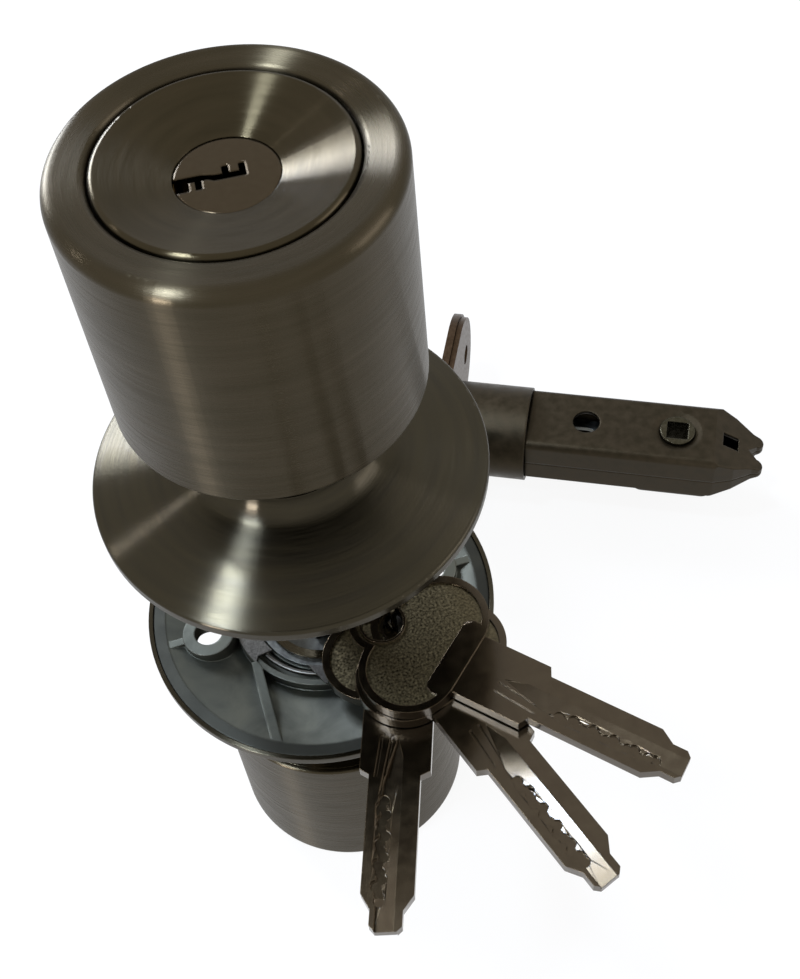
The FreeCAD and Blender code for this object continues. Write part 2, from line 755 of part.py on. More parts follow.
def rose_plate(side):
    """The cast plate: sleeve, floor, rim, round wall, bosses, webs and ribs."""
    label = side + "_rose_plate"
    outer = S["rose_radius"] - S["cover_wall"] - S["seat_gap"]
    rim = outer - S["plate_rim"]
    bore = S["shank_radius"] + S["fit"]
    sleeve = S["sleeve_radius"]
    cone = S["cone_radius"]
    wall = S["plate_wall"]
    step = S["plate_step"]
    pocket = S["wall_radius"] - S["wall_width"]
    pocket_top = S["pocket_floor"] + S["pocket_wall"]
    shell = turned(label + "_shell", [
        (bore, S["sleeve_start"]),
        (sleeve, S["sleeve_start"]),
        (sleeve, S["pocket_floor"]),
        (pocket, S["pocket_floor"]),
        (cone, plate_top(cone) - wall),
        (rim, plate_top(rim) - wall),
        (rim, step),
        (outer, step),
        (outer, plate_top(outer)),
        (cone, plate_top(cone)),
        (pocket, pocket_top),
        (sleeve, pocket_top),
        (sleeve, S["sleeve_end"]),
        (bore, S["sleeve_end"])])
    envelope = turned(label + "_envelope", [
        (sleeve, 0),
        (rim, 0),
        (rim, plate_top(rim)),
        (cone, plate_top(cone)),
        (sleeve, plate_top(cone))])
    ring = turned(label + "_ring", rectangle(
        pocket, cap_end, S["wall_radius"], S["cone_height"]))
    features = [ring]
    height = S["cone_height"]
    middle = S["plate_wall"] / 2
    for name, sign in (("left", -1), ("right", 1)):
        place_x = half_pitch * sign
        features.append(rod("%s_boss_%s" % (label, name), place_x, 0, S["boss_radius"], 0, height))
        inner_x = place_x + (S["boss_radius"] - middle) * sign
        outer_x = (rim + middle) * sign
        low_x, high_x = (outer_x, inner_x) if sign < 0 else (inner_x, outer_x)
        half = S["web_width"] / 2
        features.append(block("%s_web_%s" % (label, name), (low_x, -half, S["rib_drop"]),
                              (high_x, half, height)))
        half = S["rib_width"] / 2
        rib_x = S["rib_offset"] * sign
        for end, facing in (("near", -1), ("far", 1)):
            start_y = S["cone_radius"] / 2 * facing
            end_y = rim * facing
            low_y, high_y = (end_y, start_y) if facing < 0 else (start_y, end_y)
            features.append(block("%s_rib_%s_%s" % (label, name, end),
                                  (rib_x - half, low_y, S["rib_drop"]),
                                  (rib_x + half, high_y, height)))
    cap_room = S["wall_radius"] + S["fit"]
    spring_room = turned(label + "_spring_room", [
        (sleeve - S["fit"], 0),
        (cap_room, 0),
        (cap_room, cap_end),
        (pocket, cap_end),
        (pocket, S["pocket_floor"]),
        (sleeve - S["fit"], S["pocket_floor"])])
    raised_parts = cut(label + "_raised", shared(
        label + "_features", [envelope, joined(label + "_feature_set", features)]), [spring_room])
    blank = joined(label + "_blank", [shell, raised_parts])
    hole = S["screw_hole"] if side == REAR else S["post_radius"] + S["seat_gap"]
    holes = [rod("%s_hole_%d" % (label, index), place_x, 0, hole, 0, height)
             for index, place_x in enumerate((-half_pitch, half_pitch))]
    if side == FRONT:
        holes += [rod("%s_seat_%d" % (label, index), place_x, 0, S["post_head"] + S["fit"], 0,
                      S["post_seat"])
                  for index, place_x in enumerate((-half_pitch, half_pitch))]
    place_half(cut(label, blank, holes), side)


def knob_clip(side):
    """The open clip that keeps the shank in the plate's sleeve."""
    node = turned(side + "_knob_clip", rectangle(
        groove_floor + S["fit"], S["clip_start"] + S["fit"],
        S["clip_radius"], clip_end - S["fit"]), S["clip_opening"])
    place_half(node, side)


# Corners of the window in the spring cap, in the frame of one half.
WINDOW = [(-7.2, 5.2), (-3.0, 14.3), (-5.5, 20.0), (-16.0, 14.0), (-12.3, 6.0)]


def spring_cap(side):
    """The flat ring that covers the return spring, with a window on one side."""
    label = side + "_spring_cap"
    ring = turned(label + "_ring", rectangle(
        S["cap_bore"], S["cap_start"], S["wall_radius"] - S["fit"], cap_end))
    window = prism(label + "_window", WINDOW, S["cap_start"] - S["slack"],
                   S["cap_wall"] + S["slack"] * 2)
    place_half(cut(label, ring, [window]), side)


def coil(radius, pitch, turns, wire):
    """A round wire wound on a helix, laid on pairs of tangent arcs."""
    quarter = math.pi / 2
    rise = pitch / (2 * math.pi)
    count = int(round(turns * 4))

    def point(angle):
        return FreeCAD.Vector(radius * math.cos(angle), radius * math.sin(angle), rise * angle)

    def tangent(angle):
        return FreeCAD.Vector(-radius * math.sin(angle), radius * math.cos(angle), rise).normalize()

    def tangent_arc(start, corner, finish):
        half = (finish - start) * 0.5
        middle = start + half
        reach = (corner - start).Length
        lean = math.acos(min(half.Length / reach, 1.0))
        toward = (corner - middle).normalize()
        return Part.Arc(start, middle + toward * (half.Length * math.tan(lean / 2)), finish)

    edges = []
    for index in range(count):
        first, last = quarter * index, quarter * (index + 1)
        start, finish = point(first), point(last)
        leave, arrive = tangent(first), tangent(last)
        gap = finish - start
        pull = (leave + arrive).dot(gap)
        both = 2 * (1 - leave.dot(arrive))
        reach = (-pull + math.sqrt(pull ** 2 + both * gap.dot(gap))) / both
        first_corner = start + leave * reach
        last_corner = finish - arrive * reach
        meeting = (first_corner + last_corner) * 0.5
        edges.append(tangent_arc(start, first_corner, meeting).toShape())
        edges.append(tangent_arc(meeting, last_corner, finish).toShape())
    path = Part.Wire(edges)
    section = Part.Wire([Part.makeCircle(wire / 2, point(0), tangent(0))])
    return path.makePipeShell([section], True, False)


def return_spring(side):
    """The torsion spring round the sleeve that turns the knob back."""
    node = doc.addObject("Part::Feature", side + "_return_spring")
    node.Shape = coil(S["spring_radius"].value, S["spring_pitch"].value,
                      S["spring_turns"].value, S["spring_wire"].value)
    height = cap_end + S["spring_wire"] / 2 + S["seat_gap"]
    if side == FRONT:
        place(node, [], (0, 0, S["door_gap"] + height))
    else:
        place(node, [(ALONG, 180)], (0, 0, -height))


def front_posts():
    """The two threaded posts riveted into the front plate."""
    posts = []
    low = -S["post_length"]
    head_wall = S["post_seat"] - S["fit"]
    for index, place_x in enumerate((-half_pitch, half_pitch)):
        shaft = rod("post_shaft_%d" % index, place_x, 0, S["post_radius"], low,
                    S["post_length"] + S["plate_wall"])
        head = rod("post_flange_%d" % index, place_x, 0, S["post_head"], 0, head_wall)
        thread = rod("post_thread_%d" % index, place_x, 0, S["post_bore"],
                     low - S["slack"], S["post_bore_depth"] + S["slack"])
        posts.append(cut("post_%d" % index, joined("post_blank_%d" % index, [shaft, head]), [thread]))
    place_half(group("front_posts", posts), FRONT)


def spindle():
    """The square spindle from the front driver to the floor of the rear driver's socket."""
    half = S["spindle_width"] / 2
    low = -socket_end + S["slack"]
    high = S["door_gap"] + socket_end - S["fit"]
    node = prism("spindle", rectangle(-half, -half, half, half), low, high - low)
    place(node)


# The latch in its own frame: +X runs from the faceplate to the tail, the hub turns about Z.
table = -knob_end
latch_level = table + S["plate_width"] / 2
case_top = S["case_half_depth"]
backing_end = S["plate_thick"] + S["backing_thick"]
front_hole = S["backset"] - half_pitch
tail_end = S["backset"] + S["tail_reach"]
post_slot = S["case_bolt_hole"] + S["fit"]
bar_start = front_hole - S["bolt_throw"] - post_slot - S["bar_web"]
bar_end = S["backset"] + S["bar_reach"]
stop_end = bar_start - S["stop_gap"]
stop_place = stop_end - S["stop_wall"]
tube_end = stop_end + S["tube_past_stop"]


def place_latch(node, flipped=False):
    """Sets a latch piece on the table, with the hub at its place beside the lock."""
    angle = math.radians(S["latch_angle"].value)
    base_x = S["latch_x"].value - S["backset"].value * math.cos(angle)
    base_y = S["latch_y"].value - S["backset"].value * math.sin(angle)
    turns = [(UP, S["latch_angle"])]
    if flipped:
        turns.append((ALONG, 180))
    place(node, turns, (base_x, base_y, latch_level))


def lying(label, points, start, length):
    """A body padded along the latch axis from an outline of Y and Z."""
    return prism(label, points, start, length, "YZ_Plane")


def rounded_plate(inset):
    """The outline of the faceplate or, drawn in by the inset, of the plate behind it."""
    across = S["plate_length"] / 2 - inset
    up = S["plate_width"] / 2 - inset
    corner = S["plate_corner"] - inset
    return [
        (across - corner, -up),
        (across, corner - up, corner, 1),
        (across, up - corner),
        (across - corner, up, corner, 1),
        (corner - across, up),
        (-across, up - corner, corner, 1),
        (-across, corner - up),
        (corner - across, -up, corner, 1)]


def screw_cone(label, place_y):
    """The countersunk screw hole of the faceplate."""
    cone = doc.addObject("Part::Cone", label)
    bind(cone, "Radius1", S["plate_screw_hole"] + S["plate_thick"])
    bind(cone, "Radius2", S["plate_screw_hole"])
    bind(cone, "Height", S["plate_thick"])
    cone.Placement = FreeCAD.Placement(
        FreeCAD.Vector(0, value_of(place_y), 0), FreeCAD.Rotation(FreeCAD.Vector(0, 1, 0), 90))
    bind(cone, "Placement.Base.y", place_y)
    return cone


def latch_faceplate():
    """The plate with rounded ends, the bolt's window and two countersunk holes."""
    label = "latch_faceplate"
    blank = lying(label + "_blank", rounded_plate(0), 0, S["plate_thick"])
    half_y = S["bolt_half_width"] + S["fit"] * 2
    half_z = S["bolt_half_depth"] + S["fit"] * 2
    tools = [block(label + "_window", (-S["slack"], -half_y, -half_z),
                   (S["plate_thick"] + S["slack"], half_y, half_z))]
    for sign in (-1, 1):
        tools.append(screw_cone("faceplate_screw_%d" % (sign + 1), S["plate_screws"] / 2 * sign))
    place_latch(cut(label, blank, tools))


def latch_backing():
    """The plate behind the faceplate that holds the barrel."""
    label = "latch_backing"
    blank = lying(label + "_blank", rounded_plate(S["backing_inset"]), S["plate_thick"],
                  S["backing_thick"])
    tools = [cross_bar(label + "_mouth", S["tube_radius"] - S["tube_wall"], S["plate_thick"],
                       backing_end, 0)]
    for sign in (-1, 1):
        tools.append(cross_bar("backing_screw_%d" % (sign + 1), S["plate_screw_hole"],
                               S["plate_thick"], backing_end, S["plate_screws"] / 2 * sign))
    place_latch(cut(label, blank, tools))


def cross_bar(label, radius, start, end, place_y):
    """A round bar along the latch axis."""
    bar = doc.addObject("Part::Cylinder", label)
    bind(bar, "Radius", radius)
    bind(bar, "Height", end - start)
    bar.Placement = FreeCAD.Placement(
        FreeCAD.Vector(value_of(start), value_of(place_y), 0),
        FreeCAD.Rotation(FreeCAD.Vector(0, 1, 0), 90))
    bind(bar, "Placement.Base.x", start)
    bind(bar, "Placement.Base.y", place_y)
    return bar


def latch_tube():
    """The round barrel behind the faceplate."""
    outer = cross_bar("tube_outer", S["tube_radius"], backing_end, tube_end, 0)
    inner = cross_bar("tube_inner", S["tube_radius"] - S["tube_wall"], backing_end, tube_end, 0)
    place_latch(cut("latch_tube", outer, [inner]))


def latch_spring_stop():
    """The disc across the barrel that the bolt spring pushes against."""
    disc = cross_bar("stop_disc", S["tube_radius"] - S["tube_wall"] - S["fit"], stop_place,
                     stop_end, 0)
    half_y = S["stem_half"] + S["seat_gap"]
    half_z = S["bar_half_wall"] + S["seat_gap"]
    slot = block("stop_slot", (stop_place - S["slack"], -half_y, -half_z),
                 (stop_end + S["slack"], half_y, half_z))
    place_latch(cut("latch_spring_stop", disc, [slot]))


def tail_sides(inset, last):
    """The tapered side of the tail on the negative side, as far as one of its corners."""
    corners = [("tail_taper", "case_half_width"), ("tail_mid", "tail_mid_half"),
               ("tail_near", "tail_near_half")]
    return [(S["backset"] + S[along], inset - S[half]) for along, half in corners[:last]]


def mirrored(points):
    """The same points on the other side of the latch axis, in the other order."""
    return [(along, -across) for along, across in reversed(points)]


def case_section(depth, wall, end, end_height, low):
    """Half the case seen from its side, drawn in by the wall. The lower half is deep at the hub."""
    start = tube_end - wall
    bend = S["backset"] + S["tail_bend"] - wall / 2
    section = [(start, S["fit"] - wall), (end, S["fit"] - wall), (end, end_height)]
    if low:
        low_depth = S["case_low_depth"] - wall
        belly = S["belly_place"] - wall
        foot = belly + S["belly_slope"]
        section += [
            (bend, low_depth),
            (S["backset"] + foot, low_depth),
            (S["backset"] + belly, depth),
            (S["backset"] - belly, depth),
            (S["backset"] - foot, low_depth),
            (start, low_depth)]
    else:
        section += [(bend, depth), (start, depth)]
    return section


def latch_case(name, flipped):
    """One pressed half of the case: flat face, two side walls and the sloping forked tail."""
    label = "latch_case_" + name
    half = S["case_half_width"]
    wall = S["case_wall"]
    outside = prism(label + "_outside", case_section(case_top, 0, tail_end, S["tail_height"], flipped),
                    -half, half * 2, "XZ_Plane")
    round_edge = S["case_round"]
    section = lying(label + "_section", [
        (half, -wall),
        (half, case_top - round_edge),
        (half - round_edge, case_top, round_edge, 1),
        (round_edge - half, case_top),
        (-half, case_top - round_edge, round_edge, 1),
        (-half, -wall)], tube_end - S["slack"], tail_end - tube_end + S["slack"] * 2)
    tip = S["tip_place"]
    curve = S["tip_round"]
    sides = tail_sides(0, 3)
    plan = prism(label + "_plan", [(tube_end, -half)] + sides + [
        (tail_end - curve, -tip - curve),
        (tail_end, -tip, curve, 1),
        (tail_end - curve, curve - tip, curve, 1),
        (S["backset"] + S["notch_place"], 0),
        (tail_end - curve, tip - curve),
        (tail_end, tip, curve, 1),
        (tail_end - curve, tip + curve, curve, 1)] + mirrored(sides) + [
        (tube_end, half)], -wall, case_top + wall * 2)
    hollow_end = S["backset"] + S["tail_hollow"]
    bend_depth = S["case_low_depth"] if flipped else case_top
    fall = (bend_depth - S["tail_height"]) / (S["tail_reach"] - S["tail_bend"])
    hollow_height = bend_depth - wall - fall * (S["tail_hollow"] - S["tail_bend"])
    hollow = prism(label + "_hollow", case_section(case_top - wall, wall, hollow_end, hollow_height, flipped),
                   wall - half, (half - wall) * 2, "XZ_Plane")
    inner_sides = tail_sides(wall, 2)
    inner = [(tube_end - wall, wall - half)] + inner_sides
    inner.append((hollow_end, wall * 1.5 - S["tail_mid_half"]))
    hollow_plan = prism(label + "_hollow_plan", inner + mirrored(inner), -wall * 2, case_top + wall * 2)
    side = S["tail_hole"] / 2
    hole_x = S["backset"] + S["tail_hole_place"]
    through = case_top + wall * 2
    dimple = doc.addObject("Part::Cone", label + "_dimple")
    bind(dimple, "Radius1", S["hub_radius"])
    bind(dimple, "Radius2", S["dimple_radius"])
    bind(dimple, "Height", S["dimple_depth"])
    bind(dimple, "Placement.Base.x", S["backset"])
    bind(dimple, "Placement.Base.z", case_top - S["dimple_depth"])
    tools = [
        shared(label + "_inside", [hollow, hollow_plan]),
        dimple,
        rod(label + "_hub_hole", S["backset"], 0, S["hub_radius"] + S["fit"], -wall, through),
        rod(label + "_post_hole", front_hole, 0, S["case_bolt_hole"], -wall, through),
        block(label + "_tail_hole", (hole_x - side, -side, -wall),
              (hole_x + side, side, case_top))]
    place_latch(cut(label, shared(label + "_blank", [outside, plan, section]), tools), flipped)


def latch_hub():
    """The hub with its square hole and the two arms that draw the bolt back."""
    top = case_top + S["hub_rise"]
    barrel = rod("hub_barrel", S["backset"], 0, S["hub_radius"], -top, top * 2)
    half = S["hub_arm_half"]
    arms = block("hub_arms", (S["backset"] - half, -S["hub_arm"], S["arm_low"]),
                 (S["backset"] + half, S["hub_arm"], S["arm_high"]))
    side = S["hub_square"] / 2
    square = block("hub_square_hole", (S["backset"] - side, -side, -top - S["slack"]),
                   (S["backset"] + side, side, top + S["slack"]))
    place_latch(cut("latch_hub", joined("hub_blank", [barrel, arms]), [square]))


def latch_bolt():
    """The bevelled bolt in the barrel."""
    deep = S["bolt_half_depth"]
    node = prism("latch_bolt", [
        (-S["bolt_throw"], -deep),
        (S["bolt_back"], -deep),
        (S["bolt_back"], deep),
        (-S["fit"], deep),
        (-S["bolt_throw"], S["bolt_nose"] - deep)],
        -S["bolt_half_width"], S["bolt_half_width"] * 2, "XZ_Plane")
    place_latch(node)


def latch_drawbar():
    """The flat bar from the bolt to the hub, open round the post and round the hub."""
    wide = S["bar_half_width"]
    thick = S["bar_half_wall"]
    hub = S["hub_radius"] + S["fit"] * 2
    stem = block("bar_stem", (S["bolt_back"], -S["stem_half"], -thick),
                 (bar_start + S["bar_web"] / 2, S["stem_half"], thick))
    bar = block("bar_plate", (bar_start, -wide, -thick), (bar_end, wide, thick))
    tab_low = S["backset"] + S["hub_arm_half"] + S["fit"] * 2
    tabs = []
    for name, low_y, high_y in (("left", -wide, -hub), ("right", hub, wide)):
        tabs.append(block("bar_tab_" + name, (tab_low, low_y, -thick),
                          (tab_low + S["tab_wall"], high_y, S["arm_high"])))
    blank = joined("bar_blank", [stem, bar] + tabs)
    high = S["arm_high"] + S["slack"]
    drop = -thick - S["slack"]
    tools = []
    for name, radius, place_x, front in (
            ("post", post_slot, front_hole, front_hole),
            ("hub", hub, S["backset"], bar_end + S["slack"])):
        back = place_x - S["bolt_throw"]
        tools.append(rod("bar_%s_round" % name, back, 0, radius, drop, high - drop))
        tools.append(rod("bar_%s_end" % name, place_x, 0, radius, drop, high - drop))
        tools.append(block("bar_%s_slot" % name, (back, -radius, drop), (front, radius, high)))
    place_latch(cut("latch_drawbar", blank, tools))


def latch_bolt_spring():
    """The coil spring between the bolt and the stop."""
    wire = S["bolt_spring_wire"]
    room = stop_place - S["bolt_back"] - wire - S["seat_gap"] * 2
    pitch = room / S["bolt_spring_turns"]
    node = doc.addObject("Part::Feature", "latch_bolt_spring")
    node.Shape = coil(S["bolt_spring_radius"].value, pitch.value,
                      S["bolt_spring_turns"].value, wire.value)
    start = S["bolt_back"] + wire / 2 + S["seat_gap"]
    angle = math.radians(S["latch_angle"].value)
    along = start.value - S["backset"].value
    place(node, [(UP, S["latch_angle"]), ((0, 1, 0), 90)],
          (S["latch_x"].value + along * math.cos(angle),
           S["latch_y"].value + along * math.sin(angle), latch_level))


KEYS = ("a", "b", "c")
SCALLOPS = 15
SCALLOP_TURN = 2.2
# A groove of the key: its side place at the start, then its end along the key and aside.
GROOVE_LINES = ((-2.3, 28.0, -2.9), (-0.7, 30.8, -2.0))
# The sloped face of the key starts in a point and widens to its foot and to its ridge.
SLOPE_POINT = (21.5, 0.2)
SLOPE_FOOT_START = 30.0
SLOPE_RIDGE_START = 26.0


def key_height(index):
    """The lower face of one key of the stack on the rear rose."""
    return S["key_gap"] + (S["key_wall"] + S["key_gap"]) * index


def key_bow(label, inset, end, low, tall):
    """The wide bow with its two round ends and the lobe of the ring hole, drawn in by the inset."""
    radius = S["key_bow"] - inset
    spread = S["key_bow_spread"]
    place_x = S["key_bow_place"]
    return joined(label, [
        rod(label + "_left", place_x, spread, radius, low, tall),
        rod(label + "_right", place_x, -spread, radius, low, tall),
        block(label + "_middle", (place_x - radius, -spread, low), (end, spread, low + tall)),
        rod(label + "_lobe", 0, 0, S["key_lobe"] - inset, low, tall)])


def key_panel(label, low, tall):
    """The smooth panel of the bow with two rounded corners."""
    half = S["key_panel"]
    corner = S["key_panel_corner"]
    start = S["key_panel_place"]
    end = S["key_blade_place"]
    return prism(label, [
        (start, corner - half),
        (start + corner, -half, corner, 1),
        (end, -half),
        (end, half),
        (start + corner, half),
        (start, half - corner, corner, 1)], low, tall)


def inward(surface, outward, depth):
    """Start and length of a straight tool that goes in by the depth from one face."""
    start = surface - depth if outward > 0 else surface - S["slack"]
    return start, depth + S["slack"]


def key_face_tools(label, surface, outward):
    """All that is cut into one face; the other face has the same, turned about the key's axis."""
    slack = S["slack"]
    border = S["key_border"]
    start, tall = inward(surface, outward, S["key_field"])
    field = key_bow(label + "_field", border, S["key_panel_place"] + border, start, tall)
    panel = key_panel(label + "_panel", start - slack, tall + slack * 2)
    ring_border = rod(label + "_ring_border", 0, 0, S["key_hole"] + S["key_ring_border"],
                      start - slack, tall + slack * 2)
    tools = [cut(label + "_sunken", field, [panel, ring_border])]
    neck = surface - S["key_step"] * outward
    start, tall = inward(neck, outward, S["key_groove_depth"])
    half = S["key_groove_width"] / 2
    for index, (first, end, last) in enumerate(GROOVE_LINES):
        points = [(S["key_groove_start"], first - half), (end, last - half),
                  (end, last + half), (S["key_groove_start"], first + half)]
        tools.append(prism("%s_groove_%d" % (label, index),
                           [(along, across * outward) for along, across in points], start, tall))
    ridge = S["key_ridge"]
    foot = -S["key_foot"]
    end = S["key_tip_place"] + slack
    point_x, point_y = SLOPE_POINT
    slope = lying(label + "_slope_section", [
        (ridge * outward, neck),
        (foot * outward, neck - S["key_slope_depth"] * outward),
        (foot * outward, neck + slack * outward),
        (ridge * outward, neck + slack * outward)], point_x - slack, end - point_x + slack * 2)
    slope_plan = prism(label + "_slope_plan", [
        (along, across * outward) for along, across in (
            (point_x, point_y), (SLOPE_FOOT_START, foot - slack), (end, foot - slack),
            (end, ridge + slack), (SLOPE_RIDGE_START, ridge + slack))],
        neck - S["key_wall"] / 2, S["key_wall"])
    tools.append(shared(label + "_slope", [slope, slope_plan]))
    start, tall = inward(neck, outward, S["key_track_depth"])
    for step in range(SCALLOPS):
        swing = S["key_track_wave"] * math.sin(step * SCALLOP_TURN)
        tools.append(rod("%s_scallop_%d" % (label, step),
                         S["key_track_place"] + S["key_track_pitch"] * step,
                         (S["key_track_offset"] + swing) * -outward,
                         S["key_track"], start, tall))
    return tools


def key(index):
    """A key: wide bow with a sunken field on each face, ring hole, neck and grooved blade."""
    label = "key_" + KEYS[index]
    wall = S["key_wall"]
    step = S["key_step"]
    shoulder = S["key_shoulder"]
    blade = S["key_blade_half"]
    blade_start = S["key_blade_place"]
    tip = S["key_tip_half"]
    end = S["key_tip_place"]
    tip_start = end - S["key_tip_length"]
    corner = tip / 3
    edge = [
        (S["key_bow_place"], -shoulder),
        (blade_start, -shoulder),
        (blade_start + S["key_shoulder_slope"], -blade),
        (tip_start - S["key_tip_taper"], -blade),
        (tip_start, -tip),
        (end - corner, -tip),
        (end, corner - tip)]
    blank = joined(label + "_blank", [
        key_bow(label + "_bow", 0, S["key_bow_place"] + S["key_bow"], 0, wall),
        prism(label + "_blade", edge + mirrored(edge), step, wall - step * 2)])
    tools = [rod(label + "_hole", 0, 0, S["key_hole"], -wall, wall * 3)]
    tools += key_face_tools(label + "_low", Size(0, "0"), -1)
    tools += key_face_tools(label + "_high", wall, 1)
    place(cut(label, blank, tools), [(UP, S[label + "_angle"])],
          (S[label + "_x"], S[label + "_y"], key_height(index)))


def key_ring():
    """The bent wire link through the three ring holes, round the ends of the bows."""
    wire = S["ring_wire"].value
    low = -(wire + S["key_gap"].value)
    high = key_height(len(KEYS)).value + wire
    far = S["ring_length"].value
    bend = S["ring_bend"].value
    corners = [(far, low), (far, high), (0, high), (0, low)]
    half_way = FreeCAD.Vector(far / 2, 0, low)
    end = half_way
    edges = []
    for index, corner in enumerate(corners):
        before = FreeCAD.Vector(corners[index - 1][0], 0, corners[index - 1][1])
        here = FreeCAD.Vector(corner[0], 0, corner[1])
        after_corner = corners[(index + 1) % len(corners)]
        after = FreeCAD.Vector(after_corner[0], 0, after_corner[1])
        arrive = (here - before).normalize()
        leave = (after - here).normalize()
        start = here - arrive * bend
        finish = here + leave * bend
        middle = here + (leave - arrive) * (bend * (1 - math.sqrt(0.5)))
        edges.append(Part.LineSegment(end, start).toShape())
        edges.append(Part.Arc(start, middle, finish).toShape())
        end = finish
    edges.append(Part.LineSegment(end, half_way).toShape())
    section = Part.Wire([Part.makeCircle(wire, half_way, FreeCAD.Vector(1, 0, 0))])
    path = Part.Wire(edges)
    node = doc.addObject("Part::Feature", "key_ring")
    node.Shape = path.makePipeShell([section], True, False)
    place(node, [(UP, S["ring_angle"])], (S["ring_x"], S["ring_y"], 0))


for half_side in (FRONT, REAR):
    knob_shell(half_side)
    knob_face(half_side)
    knob_base(half_side)
    cylinder_holder(half_side)
    cylinder_body(half_side)
    plug(half_side)
    wafers(half_side)
    plug_clip(half_side)
    tailpiece(half_side)
    lock_cam(half_side)
    driver(half_side)
    rose_cover(half_side)
    rose_plate(half_side)
    knob_clip(half_side)
    spring_cap(half_side)
    return_spring(half_side)
front_posts()
spindle()
latch_faceplate()
latch_backing()
latch_tube()
latch_spring_stop()
latch_case("upper", False)
latch_case("lower", True)
latch_hub()
latch_bolt()
latch_drawbar()
latch_bolt_spring()
for key_index in range(len(KEYS)):
    key(key_index)
key_ring()
doc.recompute()
for item in doc.Objects:
    if "Invalid" in item.State or "Error" in item.State:
        raise RuntimeError("%s did not build" % item.Name)
for node in NODES:
    if node.Shape.isNull() or not node.Shape.isValid():
        raise RuntimeError("%s has no sound shape" % node.Label)

os.makedirs("parts", exist_ok=True)
for node in NODES:
    node.Shape.exportStep("parts/%s.step" % node.Label)
    print("%-24s solids %d volume %.1f" % (node.Label, len(node.Shape.Solids), node.Shape.Volume))
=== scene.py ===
import math

import bpy
from mathutils import Matrix, Vector


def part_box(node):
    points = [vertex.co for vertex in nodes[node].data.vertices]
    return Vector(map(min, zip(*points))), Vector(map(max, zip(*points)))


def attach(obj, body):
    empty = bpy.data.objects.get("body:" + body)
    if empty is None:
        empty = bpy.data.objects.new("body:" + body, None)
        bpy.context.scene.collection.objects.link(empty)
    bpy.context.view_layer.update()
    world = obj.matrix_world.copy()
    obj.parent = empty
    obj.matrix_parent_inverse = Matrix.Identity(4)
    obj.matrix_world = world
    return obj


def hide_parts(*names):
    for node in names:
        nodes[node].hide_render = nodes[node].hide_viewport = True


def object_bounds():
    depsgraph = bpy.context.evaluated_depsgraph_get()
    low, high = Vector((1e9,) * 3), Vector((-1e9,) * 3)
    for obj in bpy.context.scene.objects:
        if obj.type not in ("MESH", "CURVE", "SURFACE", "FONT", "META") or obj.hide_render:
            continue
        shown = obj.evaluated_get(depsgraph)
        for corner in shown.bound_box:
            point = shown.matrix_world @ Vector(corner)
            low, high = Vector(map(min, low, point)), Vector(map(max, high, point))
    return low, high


# A knob lockset with a key cylinder in each knob, its tubular latch and three keys on a ring,
# on a pale table. Lengths are metres, in the frame of the CAD model: the origin is on the knob
# axis in the rim plane of the rear rose, and +Z runs along the spindle to the front knob.

MM = 0.001
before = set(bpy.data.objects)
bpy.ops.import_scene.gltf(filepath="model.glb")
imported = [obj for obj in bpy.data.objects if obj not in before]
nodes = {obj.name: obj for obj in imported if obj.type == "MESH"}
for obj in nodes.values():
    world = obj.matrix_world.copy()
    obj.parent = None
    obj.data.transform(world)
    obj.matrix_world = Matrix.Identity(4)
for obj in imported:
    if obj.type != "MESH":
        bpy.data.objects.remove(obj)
cad_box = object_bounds()
table_height = cad_box[0][2]
plate_low, plate_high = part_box("rear_rose_plate")
plate_radius = (plate_high[0] - plate_low[0]) / 2


# ---- Small tools for the shaders ----

# Noise seldom leaves this range, so each pattern is stretched from it to the range it needs.
NOISE_RANGE = {"From Min": 0.3, "From Max": 0.7}
BUMP_STRENGTH = 0.5
EDGE_SAMPLES = 6


def linear(hex_colour):
    """Turns an sRGB hex colour into the linear colour that a shader reads."""
    channels = [int(hex_colour[place:place + 2], 16) / 255 for place in (1, 3, 5)]
    return [c / 12.92 if c <= 0.04045 else ((c + 0.055) / 1.055) ** 2.4 for c in channels] + [1]


def add(tree, kind, inputs=None, **settings):
    """Adds one node with its settings, and with a value or a link for each named input."""
    node = tree.nodes.new(kind)
    for name, value in settings.items():
        setattr(node, name, value)
    for name, value in (inputs or {}).items():
        if isinstance(value, bpy.types.NodeSocket):
            tree.links.new(value, node.inputs[name])
        else:
            node.inputs[name].default_value = value
    return node


def new_material(name):
    """An empty node material."""
    material = bpy.data.materials.new(name)
    material.use_nodes = True
    material.node_tree.nodes.clear()
    return material


def finish_metal(material, colour, roughness, normal, **more):
    """Closes a metal with its colour, roughness and bump. Metals keep the default IOR."""
    tree = material.node_tree
    shader = add(tree, "ShaderNodeBsdfPrincipled", {
        "Base Color": colour, "Metallic": 1.0, "Roughness": roughness, "Normal": normal, **more})
    add(tree, "ShaderNodeOutputMaterial", {"Surface": shader.outputs["BSDF"]})


def knob_axis(tree):
    """Where a point lies round the knob axis: its height along the axis, its offset from the
    axis as a flat vector, and its distance from the axis."""
    place = add(tree, "ShaderNodeTexCoord").outputs["Object"]
    apart = add(tree, "ShaderNodeSeparateXYZ", {0: place})
    offset = add(tree, "ShaderNodeCombineXYZ", {0: apart.outputs[0], 1: apart.outputs[1]})
    distance = add(tree, "ShaderNodeVectorMath", {0: offset.outputs[0]}, operation="LENGTH")
    return apart.outputs[2], offset.outputs[0], distance.outputs["Value"]


